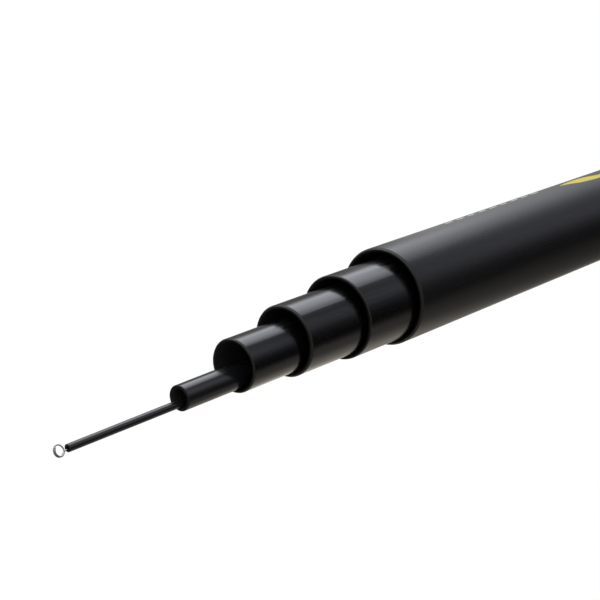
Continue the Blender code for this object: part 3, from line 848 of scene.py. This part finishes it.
def make_cap(material):
    """The screw cap from the floor of its recess over the fluted flange and the thread inside."""
    spots = flute_angles()
    angles = [angle for angle, _ in spots]

    def plain(x, radius):
        return [Vector((x, radius * math.cos(a), radius * math.sin(a))) for a in angles]

    def fluted(x, radius):
        row = []
        for angle, flute in spots:
            here = min(radius, flute)
            row.append(Vector((x, here * math.cos(angle), here * math.sin(angle))))
        return row

    rim = FLANGE_RADIUS - FLANGE_EDGE
    fine = FINE_EDGE
    rows = [[Vector((RECESS_FLOOR, 0.0, 0.0))]]
    rows += [plain(RECESS_FLOOR, r) for r in (FLOOR_ROW, RECESS_RADIUS - 0.3 * MM, RECESS_RADIUS)]
    rows += [plain(x, RECESS_RADIUS) for x in (RECESS_FLOOR - 0.3 * MM, FLANGE_START + 0.35 * MM)]
    rows.append(plain(FLANGE_START + fine, RECESS_RADIUS))
    rows.append(plain(FLANGE_START, RECESS_RADIUS + fine))
    rows.append(plain(FLANGE_START, RECESS_RADIUS + 3 * fine))
    rows += [plain(FLANGE_START, rim - d) for d in (3 * fine, fine, 0.0)]
    for step in range(1, FLANGE_EDGE_STEPS):
        share = step / FLANGE_EDGE_STEPS * 0.5 * math.pi
        x = FLANGE_START + FLANGE_EDGE * (1 - math.cos(share))
        rows.append(fluted(x, rim + FLANGE_EDGE * math.sin(share)))
    body = (FLANGE_START + FLANGE_EDGE, FLANGE_END - FLANGE_EDGE)
    rows += [fluted(mixed(*body, s), FLANGE_RADIUS) for s in FLANGE_ROWS]
    for step in range(1, FLANGE_EDGE_STEPS):
        share = step / FLANGE_EDGE_STEPS * 0.5 * math.pi
        x = FLANGE_END - FLANGE_EDGE * (1 - math.sin(share))
        rows.append(fluted(x, rim + FLANGE_EDGE * math.cos(share)))
    rows += [plain(FLANGE_END, rim - d) for d in (0.0, 3 * fine)]
    rows += [plain(FLANGE_END, CAP_NECK + d) for d in (3 * fine, 0.0)]
    rows += [plain(x, CAP_NECK) for x in (FLANGE_END + 3 * fine, THREAD_START - WALL_MARGIN)]
    thread = spaced(THREAD_START - THREAD_MARGIN, THREAD_END + THREAD_MARGIN, THREAD_ROW)
    rows += thread_rows(thread, angles, CAP_NECK, THREAD_ROUND, THREAD_START, THREAD_END)
    neck_end = (THREAD_END + WALL_MARGIN, CAP_END - 4 * fine, CAP_END - fine)
    rows += [plain(x, CAP_NECK) for x in neck_end]
    rows += [plain(CAP_END, CAP_NECK - d) for d in (fine, 4 * fine)]
    rows += [plain(CAP_END, CAP_BORE + d) for d in (4 * fine, fine)]
    bore = (CAP_END - fine, CAP_END - 4 * fine, CAP_FLOOR_END + 3 * fine, CAP_FLOOR_END)
    rows += [plain(x, CAP_BORE) for x in bore]
    rows += [plain(CAP_FLOOR_END, r) for r in (CAP_BORE - 3 * fine, FLOOR_ROW)]
    rows.append([Vector((CAP_FLOOR_END, 0.0, 0.0))])
    mesh = mesh_of("butt_cap_form", rows, [0] * (len(rows) - 1), [material])
    add_piece("butt_cap_form", mesh, Matrix(), "cap", "cap", "butt_cap")


def make_insert(material):
    """The flanged sleeve in the butt's end, with the thread cut into its bore."""
    angles = [TURN * i / ROUND_COLUMNS for i in range(ROUND_COLUMNS)]
    fine = FINE_EDGE
    corners = [
        (SEAT_END, INSERT_BORE, 0.0, 0),
        (SEAT_END, SEAT_RADIUS, fine, 0),
        (INSERT_START, SEAT_RADIUS, fine, 0),
        (INSERT_START, INSERT_FLANGE_RADIUS, 2 * fine, 0),
        (INSERT_FLANGE_END, INSERT_FLANGE_RADIUS, 2 * fine, 0),
        (INSERT_FLANGE_END, INSERT_RADIUS, 0.0, 0),
        (INSERT_END, INSERT_RADIUS, fine, 0),
        (INSERT_END, INSERT_BORE, 0.0, 0),
    ]
    profile = supported(rounded(corners, around=False), around=False)
    rows = [ring_of(x, radius, ROUND_COLUMNS) for x, radius, _ in profile]
    wall = (INSERT_END - 4 * fine, INSERT_WALL_ROW)
    rows += [ring_of(x, INSERT_BORE, ROUND_COLUMNS) for x in wall]
    groove = spaced(SEAT_END + THREAD_ROW, GROOVE_END + WALL_MARGIN, THREAD_ROW)
    groove.reverse()
    rows += thread_rows(groove, angles, INSERT_BORE, GROOVE_ROUND, GROOVE_START, GROOVE_END)
    mesh = mesh_of("thread_insert_form", rows, [0] * len(rows), [material], around=True)
    add_piece("thread_insert_form", mesh, Matrix(), "butt", "insert", "thread_insert")


def make_pad(material):
    """The rubber disc in the cap's face, with one ring groove."""
    inner, outer, depth = PAD_GROOVE
    corners = [
        (PAD_DEPTH, 0.0, 0.0, 0),
        (PAD_DEPTH, PAD_RADIUS, PAD_BACK_EDGE, 0),
        (0.0, PAD_RADIUS, PAD_FACE_EDGE, 0),
        (0.0, outer, PAD_GROOVE_EDGE, 0),
        (depth, outer, PAD_GROOVE_EDGE, 0),
        (depth, inner, PAD_GROOVE_EDGE, 0),
        (0.0, inner, PAD_GROOVE_EDGE, 0),
        (PAD_DISH, 0.0, 0.0, 0),
    ]
    mesh = turned("end_pad_form", corners, DISC_COLUMNS, [material], around=False)
    add_piece("end_pad_form", mesh, Matrix(), "cap", "pad", "end_pad")


def make_seal(material):
    """The round rubber ring between the cap and the insert."""
    rows = []
    for side in range(SEAL_SIDES):
        angle = TURN * side / SEAL_SIDES
        x = SEAL_PLACE + SEAL_WIRE * math.sin(angle)
        rows.append(ring_of(x, SEAL_RADIUS + SEAL_WIRE * math.cos(angle), ROUND_COLUMNS))
    mesh = mesh_of("seal_ring_form", rows, [0] * SEAL_SIDES, [material], around=True)
    add_piece("seal_ring_form", mesh, Matrix(), "cap", "seal", "seal_ring")


def make_buffer(material):
    """The foam disc that the closed sections stand on, with its plug in the cap."""
    corners = [
        (BUFFER_END, 0.0, 0.0, 0),
        (BUFFER_END, BUFFER_RADIUS, BUFFER_EDGE, 0),
        (BUFFER_START, BUFFER_RADIUS, BUFFER_BACK_EDGE, 0),
        (BUFFER_START, PLUG_RADIUS, 0.0, 0),
        (PLUG_START, PLUG_RADIUS, PLUG_EDGE, 0),
        (PLUG_START, 0.0, 0.0, 0),
    ]
    mesh = turned("buffer_disc_form", corners, DISC_COLUMNS, [material], around=False)
    add_piece("buffer_disc_form", mesh, Matrix(), "buffer", "buffer", "buffer_disc")


def make_bush(material):
    """The short tube in the tip that holds the ring's shank."""
    (base, outer, bore), (mouth, _, _) = tube_ends("tip_bush")
    length = (mouth - base).length
    corners = [(0.0, outer, BUSH_EDGE, 0), (length, outer, BUSH_EDGE, 0)]
    corners += [(length, bore, BUSH_EDGE, 0), (0.0, bore, BUSH_EDGE, 0)]
    mesh = turned("tip_bush_form", corners, BUSH_COLUMNS, [material])
    add_piece("tip_bush_form", mesh, axis_frame(base, mouth), "tip", "bush", "tip_bush")


def make_world():
    """White for the rays that see the background, and a soft brighter top for the light."""
    world = bpy.data.worlds.new("studio")
    bpy.context.scene.world = world
    world.use_nodes = True
    world.cycles.sampling_method = "NONE"
    nodes = Nodes(world.node_tree)
    _, _, height = nodes.split(nodes.coordinates.outputs["Generated"])
    share = nodes.ranged(height, -1.0, 1.0, smooth=False)
    sky = nodes.ramp(share, [(place, [level / CARD_TOP_LEVEL] * 3) for place, level in SKY_LEVELS])
    light = world.node_tree.nodes["Background"]
    nodes.feed(light.inputs["Color"], sky)
    light.inputs["Strength"].default_value = CARD_TOP_LEVEL
    white = nodes.new("ShaderNodeBackground")
    white.inputs["Color"].default_value = (1.0, 1.0, 1.0, 1.0)
    white.inputs["Strength"].default_value = 1.0
    mix = nodes.new("ShaderNodeMixShader")
    nodes.feed(mix.inputs[0], nodes.background_rays())
    nodes.feed(mix.inputs[1], light.outputs[0])
    nodes.feed(mix.inputs[2], white.outputs[0])
    nodes.feed(world.node_tree.nodes["World Output"].inputs["Surface"], mix.outputs[0])


def make_floor():
    """A plain pale floor that stays white and keeps the rod's soft shadow."""
    h = FLOOR_HALF
    mesh = bpy.data.meshes.new("floor")
    mesh.from_pydata([(-h, -h, 0), (h, -h, 0), (h, h, 0), (-h, h, 0)], [], [(0, 1, 2, 3)])
    floor = bpy.data.objects.new("floor", mesh)
    floor.location.z = FLOOR_HEIGHT
    bpy.context.scene.collection.objects.link(floor)
    material, nodes = new_material("pale_floor")
    finish_material(nodes, (*FLOOR_COLOUR, 1.0), Roughness=0.9, Specular_IOR_Level=0.0)
    glow = nodes.math("MULTIPLY", nodes.background_rays(), FLOOR_GLOW)
    nodes.shader.inputs["Emission Color"].default_value = (1.0, 1.0, 1.0, 1.0)
    nodes.feed(nodes.shader.inputs["Emission Strength"], glow)
    material.cycles.emission_sampling = "NONE"
    mesh.materials.append(material)


def card_colour(angle, level):
    tint = next(tint for limit, tint in CARD_TINTS if angle > limit)
    return [level * value / CARD_TOP_LEVEL for value in tint]


def make_cards():
    """Soft light above and behind, grey and dark cards in front, seen only in reflections."""
    low, high = CARD_LEVELS[0][0], CARD_LEVELS[-1][0]
    angles = spaced(math.radians(low), math.radians(high), CARD_STEP)
    rows = [
        [Vector((x, CARD_RADIUS * math.cos(a), CARD_RADIUS * math.sin(a))) for a in angles]
        for x in CARD_SPAN
    ]
    count = len(angles)
    faces = [(i, i + 1, count + i + 1, count + i) for i in range(count - 1)]
    mesh = bpy.data.meshes.new("studio_cards")
    mesh.from_pydata(rows[0] + rows[1], [], faces)
    cards = bpy.data.objects.new("studio_cards", mesh)
    bpy.context.scene.collection.objects.link(cards)
    material, nodes = new_material("studio_cards")
    turn = nodes.math("WRAP", nodes.degrees(), low + 360.0, low)
    share = nodes.ranged(turn, low, high, smooth=False)
    ramps = []
    for levels in (BUTT_CARD_LEVELS, CARD_LEVELS):
        stops = [((a - low) / (high - low), card_colour(a, level)) for a, level in levels]
        ramps.append(nodes.ramp(share, stops))
    colour = nodes.blended(nodes.ranged(nodes.x, *BUTT_CARDS_END), *ramps)
    start, end = CARD_SHARES[0][0], CARD_SHARES[-1][0]
    stops = [
        ((x - start) / (end - start), [part / CARD_SHARE_TOP for part in parts])
        for x, parts in CARD_SHARES
    ]
    ramp = nodes.ramp(nodes.ranged(nodes.x, start, end, smooth=False), stops)
    colours = nodes.new("ShaderNodeSeparateColor")
    nodes.feed(colours.inputs[0], ramp)
    parts = [*colours.outputs, ramp.node.outputs["Alpha"]]
    part = parts[0]
    for zone, other in zip(CARD_ZONES, parts[1:]):
        part = nodes.between(nodes.ranged(turn, *zone), part, other)
    strength = nodes.math("MULTIPLY", part, CARD_SHARE_TOP * CARD_TOP_LEVEL)
    emission = nodes.new("ShaderNodeEmission")
    nodes.feed(emission.inputs["Color"], colour)
    nodes.feed(emission.inputs["Strength"], strength)
    nodes.feed(nodes.tree.nodes["Material Output"].inputs["Surface"], emission.outputs[0])
    nodes.tree.nodes.remove(nodes.shader)
    material.cycles.emission_sampling = "NONE"
    mesh.materials.append(material)
    cards.visible_camera = False
    cards.visible_diffuse = False
    cards.visible_shadow = False


def make_camera():
    data = bpy.data.cameras.new("camera")
    data.lens = CAMERA_LENS
    data.sensor_width = CAMERA_SENSOR
    data.clip_start, data.clip_end = CAMERA_CLIP
    camera = bpy.data.objects.new("camera", data)
    bpy.context.scene.collection.objects.link(camera)
    matrix = Matrix((CAMERA_RIGHT, CAMERA_UP, CAMERA_BACK)).transposed().to_4x4()
    matrix.translation = CAMERA_PLACE
    camera.matrix_world = matrix
    bpy.context.scene.camera = camera


bpy.context.scene.view_settings.view_transform = "Standard"
make_camera()
make_world()
make_floor()
make_cards()

butt_base = tube_ends("butt_tube")[0][0]
inner_materials = [make_cut_end(), make_bore(), make_end_face()]
gloss = make_gloss_lacquer(
    "section_lacquer", (0.0006, 0.0006, 0.0007), (0.11, 0.17), 900.0, 315.0, 0.000006, 0.00003
)
lacquers = {
    "butt_tube": make_butt_lacquer(butt_base.x),
    "section_5": make_gloss_lacquer(
        "slim_lacquer", (0.0040, 0.0042, 0.0050), (0.105, 0.165), 1500.0, 1100.0, 0.00001, 0.00002
    ),
    "tip_section": make_gloss_lacquer(
        "tip_lacquer", (0.0058, 0.0057, 0.0057), (0.13, 0.22), 1700.0, 1300.0, 0.00001, 0.00001
    ),
}
for tube in TUBES:
    tip_frame, tip_length = make_tube(tube, [lacquers.get(tube.node, gloss)] + inner_materials)

make_bush(make_metal("brass_bush", (0.60, 0.45, 0.20), (0.30, 0.45), 0.000004, "turned", 0.3))
steel = make_metal("steel_wire", (0.42, 0.40, 0.38), (0.16, 0.28), 0.000002, "drawn", 0.25)
ring_mesh = swept("tip_ring_form", ring_path(), RING_WIRE_RADIUS, RING_SIDES, [steel])
ring_frame = tip_frame @ Matrix.Translation((tip_length, 0.0, 0.0))
add_piece("tip_ring_form", ring_mesh, ring_frame, "tip", "ring_wire", "tip_ring")

make_cap(make_anodised())
make_insert(make_metal("turned_aluminium", (0.65, 0.66, 0.67), (0.24, 0.38), 0.000006, "turned", 0.1))
make_pad(make_rubber("moulded_rubber", (0.016, 0.016, 0.016), (0.70, 0.88), 2600.0, 0.00003, 0.012))
make_seal(make_rubber("smooth_rubber", (0.012, 0.012, 0.012), (0.38, 0.50), 1800.0, 0.000006))
make_buffer(make_foam())
